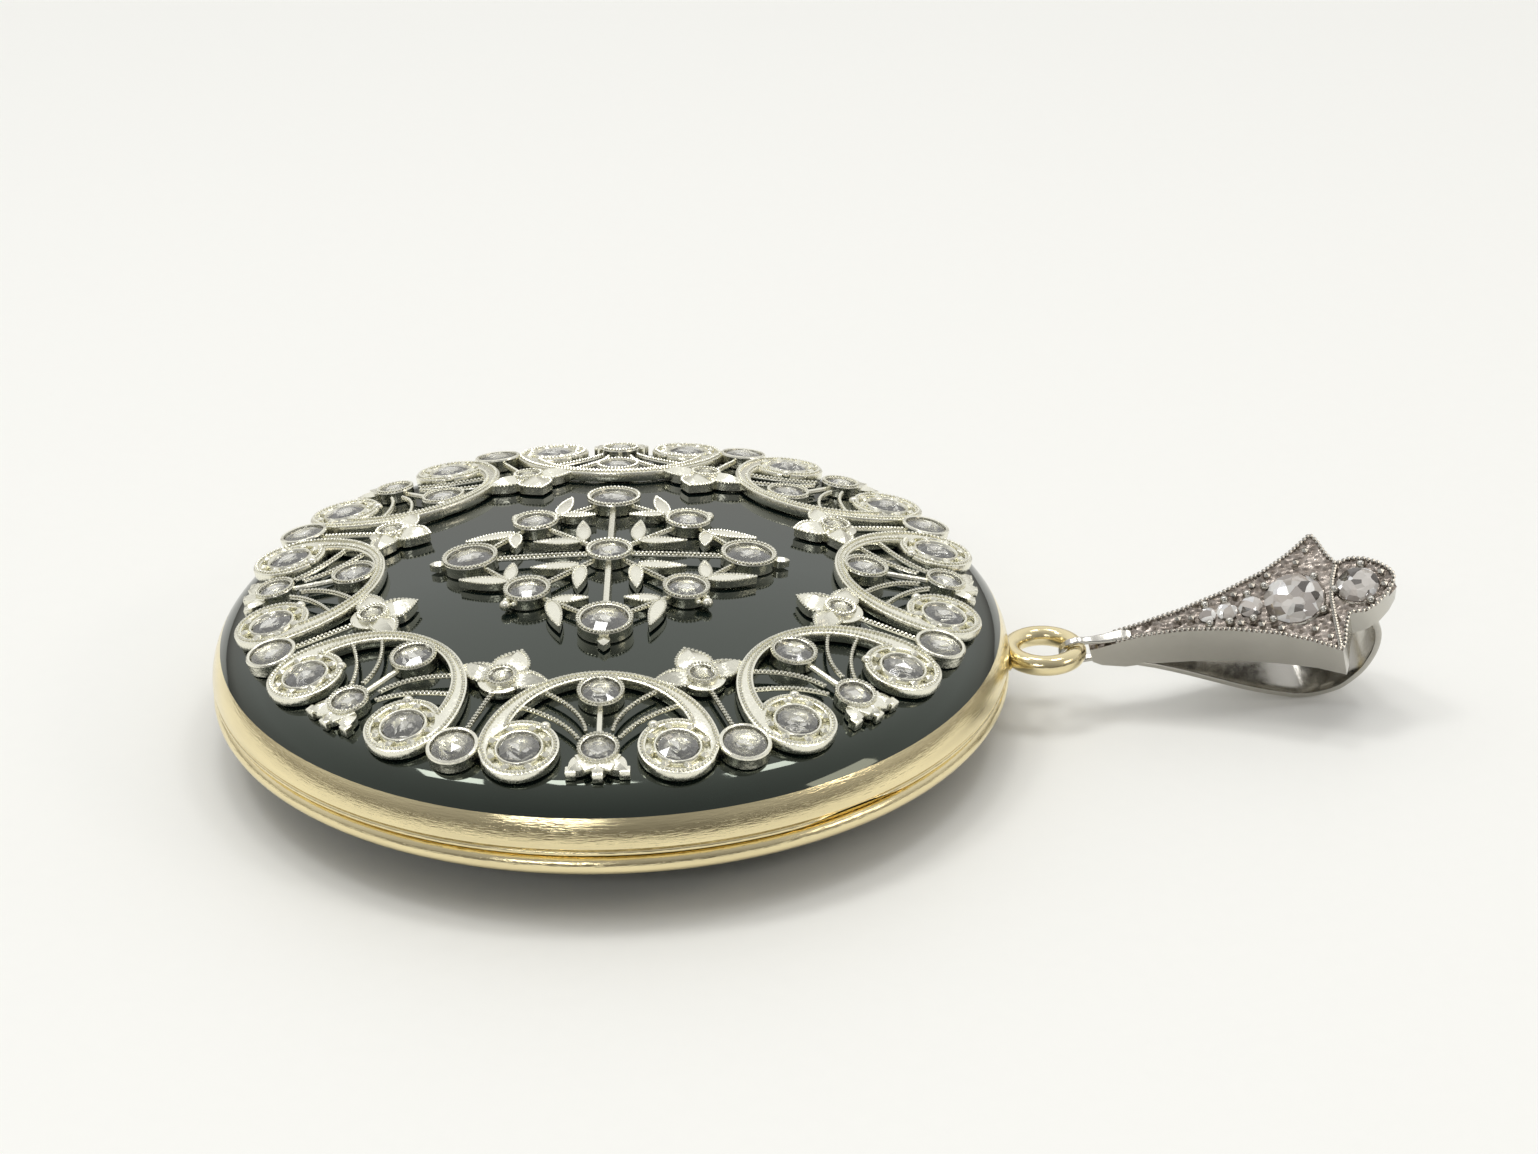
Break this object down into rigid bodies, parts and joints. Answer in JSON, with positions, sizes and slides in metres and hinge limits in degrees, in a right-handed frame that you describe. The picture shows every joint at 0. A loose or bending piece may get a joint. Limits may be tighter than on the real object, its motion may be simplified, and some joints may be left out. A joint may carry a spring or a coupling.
{
  "type": "hinged locket pendant",
  "caption": "Round hinged locket with domed black enamel covers, a stone-set openwork garland and lozenge, a snap rim and a stone-set bail that swings on a loop.",
  "frame": {"origin": "centre of the small flat on the back cover, which the locket rests on", "axes": "+Z from the back cover to the front cover, +X towards the bail, +Y towards the hinge"},
  "size_m": [0.0536, 0.0377, 0.0087],
  "materials": {
    "yellow_gold": "polished yellow gold with fine wear",
    "black_enamel": "glossy black vitreous enamel",
    "openwork_platinum": "bright platinum with milgrain edges",
    "bail_platinum": "greyer platinum with milgrain edges",
    "rose_cut_diamond": "rose-cut greyish white stone",
    "brilliant_diamond": "brilliant-cut white stone",
    "photo_paper": "plain aged photographic paper",
    "cover_glass": "clear flat glass",
    "hinge_steel": "drawn steel wire"
  },
  "bodies": {
    "case_back": {"back_rim": "yellow_gold", "back_panel": "black_enamel", "back_pan": "yellow_gold", "snap_bezel": "yellow_gold", "back_photo": "photo_paper", "back_glass": "cover_glass", "back_photo_frame": "yellow_gold", "back_knuckles": "yellow_gold", "hinge_pin": "hinge_steel", "pendant_loop": "yellow_gold"},
    "cover": {"front_rim": "yellow_gold", "front_panel": "black_enamel", "front_pan": "yellow_gold", "front_photo": "photo_paper", "front_glass": "cover_glass", "front_photo_frame": "yellow_gold", "front_knuckle": "yellow_gold", "garland_arches": "openwork_platinum", "garland_ribs": "openwork_platinum", "garland_crowns": "openwork_platinum", "garland_trefoils": "openwork_platinum", "garland_collets": "openwork_platinum", "apex_collets": "openwork_platinum", "base_collets": "openwork_platinum", "trefoil_collets": "openwork_platinum", "scroll_stones": "rose_cut_diamond", "garland_stones": "rose_cut_diamond", "apex_stones": "rose_cut_diamond", "base_stones": "rose_cut_diamond", "trefoil_stones": "rose_cut_diamond", "garland_rivets": "openwork_platinum", "lozenge_frame": "openwork_platinum", "lozenge_leaves": "openwork_platinum", "lozenge_collets": "openwork_platinum", "lozenge_stones": "rose_cut_diamond", "lozenge_rivets": "openwork_platinum"},
    "bail": {"bail_plate": "bail_platinum", "bail_strap": "bail_platinum", "bail_eye": "bail_platinum", "bail_main_stone": "brilliant_diamond", "bail_petal_stone": "brilliant_diamond", "bail_taper_stones": "brilliant_diamond", "bail_prongs": "bail_platinum"}
  },
  "joints": [
    {"name": "cover_hinge", "type": "hinge", "parent": "case_back", "child": "cover", "pos_m": [0, 0.0189, 0.00319], "axis": [-1, 0, 0], "range_deg": [0, 150]},
    {"name": "bail_swing", "type": "hinge", "parent": "case_back", "child": "bail", "pos_m": [0.0211, 0, 0.00308], "axis": [0, -1, 0], "range_deg": [-100, 95]}
  ]
}
